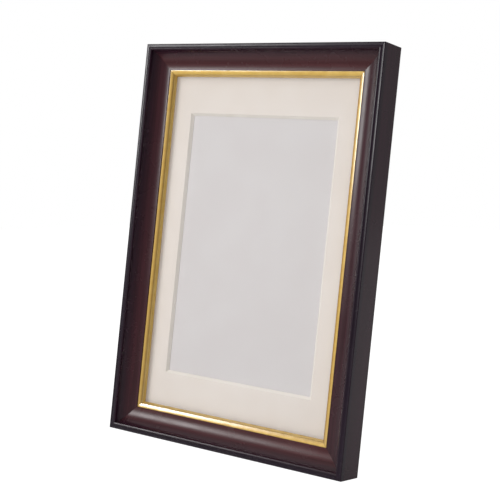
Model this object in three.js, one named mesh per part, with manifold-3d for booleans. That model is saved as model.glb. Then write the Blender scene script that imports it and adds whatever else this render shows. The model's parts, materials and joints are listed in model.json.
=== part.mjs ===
// A standing photo frame: mitred scoop moulding with a gilt slip, glass, mat and print,
// a back board held by turn buttons, a hinged strut and a hanging ring.
// Millimetres, +Z up, the picture faces -Y.
import * as THREE from "three";
import { mergeVertices } from "three/addons/utils/BufferGeometryUtils.js";
import Module from "manifold-3d";

const wasm = await Module();
wasm.setup();

// Overall size and stance
const frameWidth = 156;
const frameHeight = 223;
const leanDegrees = 10;

// Clearances
const mitreGap = 0.15;
const layerGap = 0.2;
const seatGap = 0.25;
const holeClearance = 0.3;
const pinClearance = 0.25;

// Moulding section, measured in from the outer edge and back from the front
const mouldingWidth = 17.4;
const rebateWidth = 6;
const arrisRadius = 1.1;
const bandWidth = 3;
const bandEase = 0.4;
const stepDrop = 0.8;
const scoopDepth = 6.2;
const lipThickness = 1.9;

// Gilt slip
const slipFace = 3.15;
const flangeThickness = 1.05;
const sightEdge = 1.9;
const beadRadius = 0.55;
const beadSink = 0.3;
const grooveDepth = 0.55;
const grooveWidth = 0.2;

// Stack in the rebate, from the glass back
const panelPlay = 1;
const glassThickness = 1.5;
const matThickness = 1.4;
const printThickness = 0.25;
const cardThickness = 1.7;
const boardThickness = 2.2;
const boardRecess = 0.25;

// Print and mat window
const printWidth = 101.6;
const printHeight = 152.4;
const matOverlap = 3;

// V nails across the mitres
const nailInset = 4;
const nailLeg = 6;
const nailThickness = 0.6;
const nailDepth = 7;
const nailSink = 0.1;

// Turn buttons and their screws
const buttonSpan = 112;
const buttonHeadRadius = 4;
const buttonTipRadius = 2.6;
const buttonReach = 11;
const buttonThickness = 1;
const screwRadius = 1.2;
const screwLength = 8;
const screwHeadRadius = 3;
const screwHeadHeight = 1.5;
const slotWidth = 0.7;
const slotDepth = 0.6;

// Strut and its hinge
const strutDegrees = 18;
const hingeDrop = 70;
const hingeWidth = 32;
const hingeBarrelRadius = 1.6;
const hingePinRadius = 0.8;
const knuckleWidth = 10;
const leafThickness = 0.8;
const leafLength = 18;
const heelLength = 6;
const hingeRivetSpread = 20;
const hingeRivetRise = 11;
const legTopWidth = 34;
const legFootWidth = 56;
const legThickness = 3;
const legChamfer = 5;

// Rivets
const rivetRadius = 1.1;
const rivetHeadRadius = 2.2;
const rivetHeadHeight = 0.9;

// Hanging ring and its strap
const hangerDrop = 12;
const strapWidth = 9;
const strapLength = 21;
const strapThickness = 0.7;
const strapRivetDrop = 17;
const wireRadius = 0.8;
const ringWidth = 14;
const ringDrop = 12.5;
const ringBend = 2.4;
const ringSplit = 0.5;

// Facets
const arcSteps = 8;
const turnSteps = 16;
const wireSides = 8;
const wireSteps = 36;
const cutMargin = 1;
const weldDistance = 1e-4;

const lean = THREE.MathUtils.degToRad(leanDegrees);
const strutOpen = THREE.MathUtils.degToRad(strutDegrees);
const quarterTurn = Math.PI / 2;

// Depths from the front of the moulding, worked out from front to back
const woodEdge = mouldingWidth - slipFace - seatGap;
const rebateWall = mouldingWidth - rebateWidth;
const lipBack = scoopDepth + lipThickness;
const flangeFront = lipBack + layerGap;
const slipBack = flangeFront + flangeThickness;
const sightDepth = slipBack - sightEdge;
const glassFront = slipBack + layerGap;
const matFront = glassFront + glassThickness + layerGap;
const printFront = matFront + matThickness + layerGap;
const cardFront = printFront + printThickness + layerGap;
const boardFront = cardFront + cardThickness + layerGap;
const boardBack = boardFront + boardThickness;
const mouldingDepth = boardBack + boardRecess;

// The panels stand on the lower edge of the rebate
const panelWidth = frameWidth - 2 * rebateWall - 2 * panelPlay;
const panelHeight = frameHeight - 2 * rebateWall - 2 * panelPlay;
const panelBottom = rebateWall + seatGap;
const panelMiddle = panelBottom + panelHeight / 2;
const panelTop = panelBottom + panelHeight;
const rivetHole = rivetRadius + holeClearance;
const hangerRise = panelTop - hangerDrop;
const hingeRise = panelTop - hingeDrop;

const finishes = {
  mahogany: { color: 0x3a1d1e, roughness: 0.35, metalness: 0 },
  gilt: { color: 0xc89a45, roughness: 0.3, metalness: 1 },
  glass: { color: 0xf4f8f7, roughness: 0.05, metalness: 0 },
  mat: { color: 0xe6dccb, roughness: 0.9, metalness: 0 },
  print: { color: 0xd4d0d2, roughness: 0.8, metalness: 0 },
  card: { color: 0xa98558, roughness: 0.95, metalness: 0 },
  board: { color: 0x2a2523, roughness: 0.85, metalness: 0 },
  brass: { color: 0xb08a45, roughness: 0.35, metalness: 1 },
  steel: { color: 0xa8a9aa, roughness: 0.35, metalness: 1 },
};

function addPiece(group, name, geometry, finish) {
  const piece = new THREE.Mesh(geometry, new THREE.MeshStandardMaterial(finishes[finish]));
  piece.name = name;
  group.add(piece);
  return piece;
}

function solidOf(geometry) {
  const bare = geometry.clone();
  bare.deleteAttribute("normal");
  bare.deleteAttribute("uv");
  const welded = mergeVertices(bare, weldDistance);
  const mesh = new wasm.Mesh({
    numProp: 3,
    vertProperties: welded.attributes.position.array,
    triVerts: new Uint32Array(welded.index.array),
  });
  return new wasm.Manifold(mesh);
}

function geometryOf(solid) {
  const mesh = solid.getMesh();
  const geometry = new THREE.BufferGeometry();
  geometry.setAttribute("position", new THREE.BufferAttribute(mesh.vertProperties, 3));
  geometry.setIndex(new THREE.BufferAttribute(mesh.triVerts, 1));
  geometry.computeVertexNormals();
  return geometry;
}

function joined(first, ...others) {
  return others.reduce((whole, other) => whole.add(solidOf(other)), solidOf(first));
}

function cut(whole, ...tools) {
  return geometryOf(tools.reduce((left, tool) => left.subtract(solidOf(tool)), whole));
}

// A box between two corners
function block(low, high) {
  const size = high.map((value, axis) => value - low[axis]);
  const middle = high.map((value, axis) => (value + low[axis]) / 2);
  return new THREE.BoxGeometry(...size).translate(...middle);
}

// A flat plate drawn in X and Z, from y = front to y = front + thickness
function plate(outline, front, thickness) {
  const options = { depth: thickness, bevelEnabled: false, curveSegments: turnSteps / 2 };
  const sheet = new THREE.ExtrudeGeometry(outline, options);
  sheet.rotateX(quarterTurn);
  return sheet.translate(0, front + thickness, 0);
}

function roundHole(x, z, radius) {
  return new THREE.Path().absarc(x, z, radius, 0, 2 * Math.PI, false);
}

function outlineOf(points) {
  return new THREE.Shape(points.map(([x, y]) => new THREE.Vector2(x, y)));
}

// The corners of a rectangle about the middle of X and a level in Z
function rectangle(width, height, level) {
  const [x, z] = [width / 2, height / 2];
  return [[-x, level - z], [x, level - z], [x, level + z], [-x, level + z]];
}

// A round bar along X
function crossBar(radius, from, to) {
  const bar = new THREE.CylinderGeometry(radius, radius, to - from, turnSteps);
  return bar.rotateZ(quarterTurn).translate((from + to) / 2, 0, 0);
}

// A headed fastener along Y: the shank runs to y = -length, the domed head sits on y = 0
function fastener(shankRadius, length, headRadius, headHeight) {
  const profile = [
    new THREE.Vector2(0, -length),
    new THREE.Vector2(shankRadius, -length),
    new THREE.Vector2(shankRadius, 0),
  ];
  const domeSteps = arcSteps / 2;
  for (let step = 0; step < domeSteps; step++) {
    const angle = (step / domeSteps) * quarterTurn;
    profile.push(new THREE.Vector2(headRadius * Math.cos(angle), headHeight * Math.sin(angle)));
  }
  profile.push(new THREE.Vector2(0, headHeight));
  return new THREE.LatheGeometry(profile, turnSteps);
}

function rivet(length) {
  return fastener(rivetRadius, length, rivetHeadRadius, rivetHeadHeight);
}

// Sections are drawn with x inward from the outer edge and y back from the front
function mouldingSection() {
  const section = new THREE.Shape();
  section.moveTo(0, mouldingDepth);
  section.lineTo(0, arrisRadius);
  section.absarc(arrisRadius, arrisRadius, arrisRadius, Math.PI, 1.5 * Math.PI, false);
  section.lineTo(bandWidth - bandEase, 0);
  section.absarc(bandWidth - bandEase, bandEase, bandEase, 1.5 * Math.PI, 2 * Math.PI, false);
  section.lineTo(bandWidth, stepDrop);
  const scoopWidth = woodEdge - bandWidth;
  const scoopFall = scoopDepth - stepDrop;
  section.absellipse(woodEdge, stepDrop, scoopWidth, scoopFall, Math.PI, quarterTurn, true);
  section.lineTo(woodEdge, lipBack);
  section.lineTo(rebateWall, lipBack);
  section.lineTo(rebateWall, mouldingDepth);
  return section;
}

function slipSection() {
  const slipStart = mouldingWidth - slipFace;
  const beadMiddle = slipStart + beadRadius;
  const beadDepth = scoopDepth + beadSink;
  const grooveStart = slipStart + 2 * beadRadius;
  const section = new THREE.Shape();
  section.moveTo(rebateWall + seatGap, slipBack);
  section.lineTo(rebateWall + seatGap, flangeFront);
  section.lineTo(slipStart, flangeFront);
  section.lineTo(slipStart, beadDepth);
  section.absarc(beadMiddle, beadDepth, beadRadius, Math.PI, 2 * Math.PI, false);
  section.lineTo(grooveStart, beadDepth + grooveDepth);
  section.lineTo(grooveStart + grooveWidth, beadDepth + grooveDepth);
  section.lineTo(mouldingWidth, sightDepth);
  section.lineTo(mouldingWidth, slipBack);
  return section;
}

// A length of section along X, outer edge at z = 0, with both ends mitred
function mitredBar(section, length) {
  const options = { depth: 1, steps: 1, bevelEnabled: false, curveSegments: arcSteps / 2 };
  const bar = new THREE.ExtrudeGeometry(section, options);
  const place = bar.attributes.position;
  for (let i = 0; i < place.count; i++) {
    const inward = place.getX(i);
    const end = place.getZ(i) > 0.5 ? -1 : 1;
    place.setXYZ(i, end * (length / 2 - inward - mitreGap), place.getY(i), inward);
  }
  return bar;
}

function nailSlot(length, end) {
  const from = length / 2 - nailInset - nailLeg - layerGap;
  const to = length / 2 - nailInset + nailThickness / 2 + layerGap;
  const half = nailThickness / 2 + layerGap;
  const floor = mouldingDepth - nailSink - nailDepth - layerGap;
  return block(
    [end > 0 ? from : -to, floor, nailInset - half],
    [end > 0 ? to : -from, mouldingDepth + cutMargin, nailInset + half],
  );
}

function screwHole(along) {
  const radius = screwRadius + holeClearance;
  const depth = screwLength + holeClearance + cutMargin;
  const hole = new THREE.CylinderGeometry(radius, radius, depth, turnSteps);
  return hole.translate(along, mouldingDepth + cutMargin - depth / 2, rebateWall / 2);
}

function vNail() {
  const half = nailThickness / 2;
  const near = nailInset - half;
  const far = nailInset + half;
  const tip = nailInset + nailLeg;
  const outline = outlineOf([
    [near, near],
    [tip, near],
    [tip, far],
    [far, far],
    [far, tip],
    [near, tip],
  ]);
  return plate(outline, mouldingDepth - nailSink - nailDepth, nailDepth);
}

// Each side of the frame: its place, and the corner at the end where its V nail sits
const sides = [
  { rail: "bottom_rail", slip: "slip_bottom", corner: "bottom_left", turn: 0, x: 0, z: 0 },
  { rail: "right_stile", slip: "slip_right", corner: "bottom_right", turn: -1, x: 0.5, z: 0.5 },
  { rail: "top_rail", slip: "slip_top", corner: "top_right", turn: 2, x: 0, z: 1 },
  { rail: "left_stile", slip: "slip_left", corner: "top_left", turn: 1, x: -0.5, z: 0.5 },
];

function addSide(frame, side) {
  const upright = side.x !== 0;
  const length = upright ? frameHeight : frameWidth;
  const place = new THREE.Group();
  place.position.set(side.x * frameWidth, 0, side.z * frameHeight);
  place.rotation.y = side.turn * quarterTurn;
  const cuts = [nailSlot(length, 1), nailSlot(length, -1)];
  if (upright) cuts.push(screwHole(buttonSpan / 2), screwHole(-buttonSpan / 2));
  const rail = cut(solidOf(mitredBar(mouldingSection(), length)), ...cuts);
  addPiece(place, side.rail, rail, "mahogany");
  addPiece(place, side.slip, mitredBar(slipSection(), length), "gilt");
  const nail = addPiece(place, "v_nail_" + side.corner, vNail(), "steel");
  nail.position.x = -length / 2;
  frame.add(place);
}

function panelSheet(front, thickness) {
  return plate(outlineOf(rectangle(panelWidth, panelHeight, panelMiddle)), front, thickness);
}

// The mat's window is cut at 45 degrees, widest at the front
function matBoard() {
  const windowX = printWidth / 2 - matOverlap;
  const windowZ = printHeight / 2 - matOverlap;
  const outline = outlineOf(rectangle(panelWidth, panelHeight, 0));
  outline.holes.push(outlineOf(rectangle(2 * windowX, 2 * windowZ, 0)));
  const mat = plate(outline, 0, matThickness);
  const place = mat.attributes.position;
  for (let i = 0; i < place.count; i++) {
    const inWindow = Math.abs(place.getX(i)) < windowX + weldDistance;
    const atFront = place.getY(i) < matThickness / 2;
    if (inWindow && atFront) {
      place.setX(i, Math.sign(place.getX(i)) * (windowX + matThickness));
      place.setZ(i, Math.sign(place.getZ(i)) * (windowZ + matThickness));
    }
  }
  return mat.translate(0, matFront, panelMiddle);
}

function printSheet() {
  const outline = outlineOf(rectangle(printWidth, printHeight, panelMiddle));
  return plate(outline, printFront, printThickness);
}

const hingeRivets = [
  { hand: "left", x: -hingeRivetSpread / 2 },
  { hand: "right", x: hingeRivetSpread / 2 },
];

function backBoard() {
  const outline = outlineOf(rectangle(panelWidth, panelHeight, panelMiddle));
  for (const { x } of hingeRivets)
    outline.holes.push(roundHole(x, hingeRise + hingeRivetRise, rivetHole));
  outline.holes.push(roundHole(0, hangerRise - strapRivetDrop, rivetHole));
  return plate(outline, boardFront, boardThickness);
}

// A turn button lies along +X from its screw, with a round head and a narrower tip
function turnButton() {
  const tangent = Math.acos((buttonHeadRadius - buttonTipRadius) / buttonReach);
  const outline = new THREE.Shape();
  outline.absarc(buttonReach, 0, buttonTipRadius, -tangent, tangent, false);
  outline.absarc(0, 0, buttonHeadRadius, tangent, 2 * Math.PI - tangent, false);
  outline.closePath();
  outline.holes.push(roundHole(0, 0, screwRadius + holeClearance));
  return plate(outline, layerGap, buttonThickness);
}

function buttonScrew() {
  const headSeat = 2 * layerGap + buttonThickness;
  const shank = screwLength + headSeat;
  const screw = fastener(screwRadius, shank, screwHeadRadius, screwHeadHeight);
  const slot = block(
    [-screwHeadRadius, screwHeadHeight - slotDepth, -slotWidth / 2],
    [screwHeadRadius, screwHeadHeight + cutMargin, slotWidth / 2],
  );
  return cut(solidOf(screw), slot).translate(0, headSeat, 0);
}

function addButtons(frame) {
  for (const [hand, towards] of [["left", -1], ["right", 1]])
    for (const [level, rise] of [["upper", 1], ["lower", -1]]) {
      const place = new THREE.Group();
      const x = towards * (frameWidth / 2 - rebateWall / 2);
      place.position.set(x, mouldingDepth, frameHeight / 2 + (rise * buttonSpan) / 2);
      place.rotation.y = towards > 0 ? Math.PI : 0;
      addPiece(place, `turn_button_${hand}_${level}`, turnButton(), "brass");
      addPiece(place, `button_screw_${hand}_${level}`, buttonScrew(), "steel");
      frame.add(place);
    }
}

// Hinge leaves are drawn about the pin: y = 0 and z = 0 on its axis, the board towards -Y
const leafFront = -hingeBarrelRadius;
const leafBack = leafFront + leafThickness;
const leafStart = hingeBarrelRadius + seatGap;
const hingeBore = hingePinRadius + pinClearance;
const sideBarrel = knuckleWidth / 2 + holeClearance;

function hingeCuts(leafMiddle) {
  const length = leafThickness + 2 * cutMargin;
  const holes = hingeRivets.map(({ x }) => {
    const hole = new THREE.CylinderGeometry(rivetHole, rivetHole, length, turnSteps);
    return hole.translate(x, (leafFront + leafBack) / 2, leafMiddle);
  });
  return [crossBar(hingeBore, -hingeWidth, hingeWidth), ...holes];
}

function boardLeaf() {
  const half = hingeWidth / 2;
  const leaf = block([-half, leafFront, leafStart], [half, leafBack, leafLength]);
  const ears = [-1, 1].flatMap((side) => {
    const from = side > 0 ? sideBarrel : -half;
    const to = side > 0 ? half : -sideBarrel;
    const neck = block([from, leafFront, 0], [to, leafBack, leafStart + cutMargin]);
    return [crossBar(hingeBarrelRadius, from, to), neck];
  });
  return cut(joined(leaf, ...ears), ...hingeCuts(hingeRivetRise));
}

// The heel lies along the board leaf when the strut is open, and stops it there
function legLeaf() {
  const half = hingeWidth / 2;
  const middle = knuckleWidth / 2;
  const leaf = block([-half, leafFront, -leafLength], [half, leafBack, -leafStart]);
  const neck = block([-middle, leafFront, -leafStart - cutMargin], [middle, leafBack, 0]);
  const heelFront = leafBack + seatGap;
  const heel = block([-middle, heelFront, 0], [middle, heelFront + leafThickness, heelLength]);
  heel.rotateX(-strutOpen);
  const barrel = crossBar(hingeBarrelRadius, -middle, middle);
  return cut(joined(leaf, neck, barrel, heel), ...hingeCuts(-hingeRivetRise));
}

// The leg hangs from the pin, and its foot is cut level for the floor when it is open
function strutLeg(length, footTilt) {
  const top = -leafStart;
  const legFront = leafBack + layerGap;
  const halfTop = legTopWidth / 2;
  const halfFoot = legFootWidth / 2;
  const outline = outlineOf([
    [-halfFoot, -length],
    [halfFoot, -length],
    [halfTop, top - legChamfer],
    [halfTop - legChamfer, top],
    [legChamfer - halfTop, top],
    [-halfTop, top - legChamfer],
  ]);
  for (const { x } of hingeRivets) outline.holes.push(roundHole(x, -hingeRivetRise, rivetHole));
  const leg = plate(outline, legFront, legThickness);
  const place = leg.attributes.position;
  for (let i = 0; i < place.count; i++)
    if (place.getZ(i) < weldDistance - length)
      place.setZ(i, -length - place.getY(i) * Math.tan(footTilt));
  return leg;
}

function addStrut(standing) {
  const pinBack = seatGap + hingeBarrelRadius - boardRecess;
  const pinHeight = hingeRise * Math.cos(lean) - pinBack * Math.sin(lean);
  const footTilt = strutOpen - lean;
  const hinge = new THREE.Group();
  hinge.position.set(0, pinBack, hingeRise);
  addPiece(hinge, "hinge_board_leaf", boardLeaf(), "brass");
  const pin = crossBar(hingePinRadius, -hingeWidth / 2, hingeWidth / 2);
  addPiece(hinge, "hinge_pin", pin, "steel");
  const strut = new THREE.Group();
  strut.rotation.x = strutOpen;
  addPiece(strut, "hinge_leg_leaf", legLeaf(), "brass");
  const leg = strutLeg(pinHeight / Math.cos(footTilt), footTilt);
  addPiece(strut, "strut_leg", leg, "board");
  const boardGrip = layerGap + leafThickness + seatGap + boardThickness;
  const legGrip = layerGap + legThickness + layerGap + leafThickness;
  for (const { hand, x } of hingeRivets) {
    const boardRivet = addPiece(hinge, "board_rivet_" + hand, rivet(boardGrip), "brass");
    boardRivet.position.set(x, leafBack + layerGap, hingeRivetRise);
    const legRivet = addPiece(strut, "leg_rivet_" + hand, rivet(legGrip), "brass");
    legRivet.position.set(x, leafFront + legGrip, -hingeRivetRise);
  }
  hinge.add(strut);
  standing.add(hinge);
}

// The strap is drawn about the ring's axis, with its plate hanging down on the board
const strapRadius = wireRadius + holeClearance + strapThickness;

function hangerStrap() {
  const half = strapWidth / 2;
  const middle = strapThickness / 2 - strapRadius;
  const body = joined(
    block([-half, -strapRadius, -strapLength], [half, strapThickness - strapRadius, 0]),
    crossBar(strapRadius, -half, half),
  );
  const bore = crossBar(wireRadius + holeClearance, -strapWidth, strapWidth);
  const length = strapThickness + cutMargin;
  const hole = new THREE.CylinderGeometry(rivetHole, rivetHole, length, turnSteps);
  return cut(body, bore, hole.translate(0, middle, -strapRivetDrop));
}

// A wire bent to a triangle with round corners, its ends meeting inside the strap
function hangerRing() {
  const corners = [
    new THREE.Vector3(ringWidth / 2, 0, 0),
    new THREE.Vector3(0, 0, -ringDrop),
    new THREE.Vector3(-ringWidth / 2, 0, 0),
  ];
  const path = new THREE.CurvePath();
  let from = new THREE.Vector3(ringSplit / 2, 0, 0);
  const last = new THREE.Vector3(-ringSplit / 2, 0, 0);
  corners.forEach((corner, i) => {
    const next = corners[i + 1] ?? last;
    const into = from.clone().sub(corner).setLength(ringBend).add(corner);
    const out = next.clone().sub(corner).setLength(ringBend).add(corner);
    path.add(new THREE.LineCurve3(from, into));
    path.add(new THREE.QuadraticBezierCurve3(into, corner, out));
    from = out;
  });
  path.add(new THREE.LineCurve3(from, last));
  const wire = new THREE.Shape().absarc(0, 0, wireRadius, 0, 2 * Math.PI, false);
  const options = { extrudePath: path, steps: wireSteps, curveSegments: wireSides / 2 };
  return new THREE.ExtrudeGeometry(wire, options);
}

function addHanger(standing) {
  const axisBack = seatGap + strapRadius - boardRecess;
  const hanger = new THREE.Group();
  hanger.position.set(0, axisBack, hangerRise);
  addPiece(hanger, "hanger_strap", hangerStrap(), "steel");
  const grip = layerGap + strapThickness + seatGap + boardThickness;
  const hangerRivet = addPiece(hanger, "hanger_rivet", rivet(grip), "steel");
  hangerRivet.position.set(0, strapThickness + layerGap - strapRadius, -strapRivetDrop);
  const ring = addPiece(hanger, "hanger_ring", hangerRing(), "steel");
  ring.rotation.x = lean;
  standing.add(hanger);
}

const picture = new THREE.Group();
picture.position.y = -mouldingDepth;
sides.forEach((side) => addSide(picture, side));
addPiece(picture, "glass_pane", panelSheet(glassFront, glassThickness), "glass");
addPiece(picture, "mat_board", matBoard(), "mat");
addPiece(picture, "print_sheet", printSheet(), "print");
addPiece(picture, "backing_card", panelSheet(cardFront, cardThickness), "card");
addPiece(picture, "back_board", backBoard(), "board");
addButtons(picture);

// The frame leans back on the lower back edge of its bottom rail
const standing = new THREE.Group();
standing.rotation.x = -lean;
standing.add(picture);
addStrut(standing);
addHanger(standing);

// The origin is on the floor, under the middle of the whole frame
const photoFrame = new THREE.Group();
photoFrame.add(standing);
photoFrame.updateMatrixWorld(true);
const room = new THREE.Box3().setFromObject(photoFrame, true);
const middle = room.getCenter(new THREE.Vector3());
standing.position.set(-middle.x, -middle.y, -room.min.z);

export default photoFrame;
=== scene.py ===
import bpy
import bmesh
import json
import math
from mathutils import Matrix, Vector


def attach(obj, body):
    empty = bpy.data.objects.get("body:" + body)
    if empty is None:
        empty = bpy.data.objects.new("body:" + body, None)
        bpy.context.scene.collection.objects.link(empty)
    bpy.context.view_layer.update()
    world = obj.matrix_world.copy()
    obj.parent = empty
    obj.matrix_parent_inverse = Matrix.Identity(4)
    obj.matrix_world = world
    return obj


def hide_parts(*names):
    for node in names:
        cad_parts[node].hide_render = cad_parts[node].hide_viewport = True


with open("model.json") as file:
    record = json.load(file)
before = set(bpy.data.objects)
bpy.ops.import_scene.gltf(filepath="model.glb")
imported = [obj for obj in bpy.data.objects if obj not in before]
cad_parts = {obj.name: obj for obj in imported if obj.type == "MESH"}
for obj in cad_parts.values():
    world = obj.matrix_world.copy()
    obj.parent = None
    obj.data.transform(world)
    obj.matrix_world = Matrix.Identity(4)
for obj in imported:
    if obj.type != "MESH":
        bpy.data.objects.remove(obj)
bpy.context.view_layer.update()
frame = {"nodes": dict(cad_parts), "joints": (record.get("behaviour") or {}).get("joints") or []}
nodes = frame["nodes"]
joints = {joint["name"]: joint for joint in frame["joints"]}
scene = bpy.context.scene
print("frame loaded:", len(nodes), "nodes")

# Pieces are drawn in millimetres on the leaning frame: x across from its middle, y into its depth
# from the front, z up from its lower edge. The seat matrix then puts them where the CAD stands.
mmPerMetre = 1000
acrossAxis = Vector((1, 0, 0))
depthAxis = Vector(joints["turn_left_upper"]["axis"]).normalized()
upAxis = acrossAxis.cross(depthAxis)
woodNodes = ["top_rail", "bottom_rail", "left_stile", "right_stile"]


def reach(*names):
    points = [vertex.co for name in names for vertex in nodes[name].data.vertices]
    spans = [[point.dot(axis) for point in points] for axis in (acrossAxis, depthAxis, upAxis)]
    return Vector([min(span) for span in spans]), Vector([max(span) for span in spans])


woodLow, woodHigh = reach(*woodNodes)
seat = Matrix((acrossAxis, depthAxis, upAxis)).transposed().to_4x4()
seat.translation = depthAxis * woodLow.y + upAxis * woodLow.z
seat = seat @ Matrix.Scale(1 / mmPerMetre, 4)


def drawn(*names):  # low and high corners of some nodes, in the millimetres pieces are drawn in
    base = Vector((0, woodLow.y, woodLow.z))
    return [(corner - base) * mmPerMetre for corner in reach(*names)]


def jointPlace(name):
    return seat.inverted() @ Vector(joints[name]["pos_m"])


def camel(node):  # a piece is named after its node
    first, *others = node.split("_")
    return first + "".join(word.capitalize() for word in others)


frameHigh = drawn(*woodNodes)[1]
frameWidth, frameDepth, frameHeight = 2 * frameHigh.x, frameHigh.y, frameHigh.z
print("frame size:", [round(size, 2) for size in (frameWidth, frameHeight, frameDepth)])


# Node helpers: a value may be a plain number or another node's output
def addNode(tree, kind, inputs=None, **settings):
    made = tree.nodes.new(kind)
    for key, value in settings.items():
        setattr(made, key, value)
    for key, value in (inputs or {}).items():
        if isinstance(value, bpy.types.NodeSocket):
            tree.links.new(value, made.inputs[key])
        else:
            made.inputs[key].default_value = value
    return made


def outOf(tree, kind, inputs=None, output=0, **settings):
    return addNode(tree, kind, inputs, **settings).outputs[output]


def calc(tree, operation, first, second):
    return outOf(tree, "ShaderNodeMath", {0: first, 1: second}, operation=operation)


def plus(tree, first, second):
    return calc(tree, "ADD", first, second)


def minus(tree, first, second):
    return calc(tree, "SUBTRACT", first, second)


def times(tree, first, second):
    return calc(tree, "MULTIPLY", first, second)


def combine(tree, x, y, z):
    return outOf(tree, "ShaderNodeCombineXYZ", {0: x, 1: y, 2: z})


def blendColour(tree, factor, first, second, how="MIX"):
    inputs = {0: factor, 6: first, 7: second}
    return outOf(tree, "ShaderNodeMix", inputs, 2, data_type="RGBA", blend_type=how)


def spread(tree, value, low, high, toLow=0.0, toHigh=1.0):
    inputs = {"Value": value, 1: low, 2: high, 3: toLow, 4: toHigh}
    return outOf(tree, "ShaderNodeMapRange", inputs, interpolation_type="SMOOTHSTEP")


def noiseOf(tree, place, scale, detail=4.0, roughness=0.55):
    inputs = {"Vector": place, "Scale": scale, "Detail": detail, "Roughness": roughness}
    return outOf(tree, "ShaderNodeTexNoise", inputs, "Fac")


def attribute(tree, name, output="Fac"):
    return outOf(tree, "ShaderNodeAttribute", None, output, attribute_name=name)


socketKinds = {float: "NodeSocketFloat", int: "NodeSocketInt", tuple: "NodeSocketVector"}


def newTree(name, kind, inputs, outputs):  # an input has its first value, or its socket's kind
    tree = bpy.data.node_groups.new(name, kind)
    for label, value in inputs.items():
        socketKind = socketKinds.get(type(value), value)
        socket = tree.interface.new_socket(label, in_out="INPUT", socket_type=socketKind)
        if socketKind != value:
            socket.default_value = value
    for label, socketKind in outputs.items():
        tree.interface.new_socket(label, in_out="OUTPUT", socket_type=socketKind)
    return tree, tree.nodes.new("NodeGroupInput").outputs, tree.nodes.new("NodeGroupOutput").inputs


# Shared shader effects
def effectGroup(name, inputs, outputs):
    inputs = {"Place": "NodeSocketVector", **inputs}
    return newTree(name, "ShaderNodeTree", inputs, {label: "NodeSocketFloat" for label in outputs})


def streakGroup():  # fine lines along one direction
    tree, given, made = effectGroup("streaks", {"Along": 30.0, "Across": 1500.0}, ["Tone", "Height"])
    stretch = combine(tree, given["Along"], given["Across"], given["Across"])
    inputs = {0: given["Place"], 1: stretch}
    place = outOf(tree, "ShaderNodeVectorMath", inputs, operation="MULTIPLY")
    broad = noiseOf(tree, place, 0.35, detail=3.0)
    fine = noiseOf(tree, place, 1.6, detail=6.0, roughness=0.65)
    tone = plus(tree, times(tree, broad, 0.6), times(tree, fine, 0.4))
    tree.links.new(spread(tree, tone, 0.3, 0.7), made["Tone"])
    tree.links.new(fine, made["Height"])
    return tree


def patchGroup():  # cloudy variation between two values
    tree, given, made = effectGroup("patches", {"Scale": 60.0, "Low": 0.0, "High": 1.0}, ["Value"])
    cloud = noiseOf(tree, given["Place"], given["Scale"], detail=5.0, roughness=0.6)
    tree.links.new(spread(tree, cloud, 0.32, 0.68, given["Low"], given["High"]), made["Value"])
    return tree


def rubGroup():  # worn spots along the edges that a piece's arris attribute marks
    tree, given, made = effectGroup("edgeRub", {"Scale": 900.0, "Amount": 0.5}, ["Mask"])
    broken = noiseOf(tree, given["Place"], given["Scale"], detail=5.0, roughness=0.7)
    broken = spread(tree, plus(tree, broken, given["Amount"]), 0.9, 1.15)
    tree.links.new(times(tree, attribute(tree, "arris"), broken), made["Mask"])
    return tree


def speckGroup():  # small scattered specks, such as dust or pores
    tree, given, made = effectGroup("specks", {"Scale": 1500.0, "Amount": 0.3}, ["Mask"])
    inputs = {"Vector": given["Place"], "Scale": given["Scale"]}
    cells = outOf(tree, "ShaderNodeTexVoronoi", inputs, "Distance")
    dots = spread(tree, cells, 0.08, 0.3, 1.0, 0.0)
    sparse = noiseOf(tree, given["Place"], times(tree, given["Scale"], 0.15))
    dots = times(tree, dots, spread(tree, sparse, 0.5, 0.7))
    tree.links.new(times(tree, dots, given["Amount"]), made["Mask"])
    return tree


effects = {
    "streaks": streakGroup(),
    "patches": patchGroup(),
    "edgeRub": rubGroup(),
    "specks": speckGroup(),
}


def effect(tree, name, inputs):
    return addNode(tree, "ShaderNodeGroup", inputs, node_tree=effects[name]).outputs


def streaks(tree, place, along, across):
    return effect(tree, "streaks", {"Place": place, "Along": along, "Across": across})


def patches(tree, place, scale, low=0.0, high=1.0):
    return effect(tree, "patches", {"Place": place, "Scale": scale, "Low": low, "High": high})[0]


def edgeRub(tree, place, scale, amount):
    return effect(tree, "edgeRub", {"Place": place, "Scale": scale, "Amount": amount})[0]


def specks(tree, place, scale, amount):
    return effect(tree, "specks", {"Place": place, "Scale": scale, "Amount": amount})[0]


# Material helpers
def newMaterial(name):
    material = bpy.data.materials.new(name)
    material.use_nodes = True
    tree = material.node_tree
    tree.nodes.clear()
    shader = addNode(tree, "ShaderNodeBsdfPrincipled")
    addNode(tree, "ShaderNodeOutputMaterial", {"Surface": shader.outputs[0]})
    place = outOf(tree, "ShaderNodeTexCoord", None, "Object")
    return material, tree, shader, place


def feed(tree, shader, colour, roughness, height, bumpDepth):
    inputs = {"Height": height, "Strength": 1.0, "Distance": bumpDepth}
    bump = outOf(tree, "ShaderNodeBump", inputs)
    for name, value in (("Base Color", colour), ("Roughness", roughness), ("Normal", bump)):
        tree.links.new(value, shader.inputs[name])


def setSockets(shader, values):  # values that are the same all over the surface
    for name, value in values.items():
        shader.inputs[name].default_value = value


def mixShader(tree, factor, shader, other):
    inputs = {0: factor, 1: shader.outputs[0], 2: other.outputs[0]}
    output = next(node for node in tree.nodes if node.type == "OUTPUT_MATERIAL")
    tree.links.new(outOf(tree, "ShaderNodeMixShader", inputs), output.inputs["Surface"])


def toned(colour, share):
    return [min(1, channel * share) for channel in colour[:3]] + [1]


def layered(tree, colour, *layers):  # each layer is a mask and the colour it lays over the last
    for mask, over in layers:
        colour = blendColour(tree, mask, colour, over)
    return colour


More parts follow.
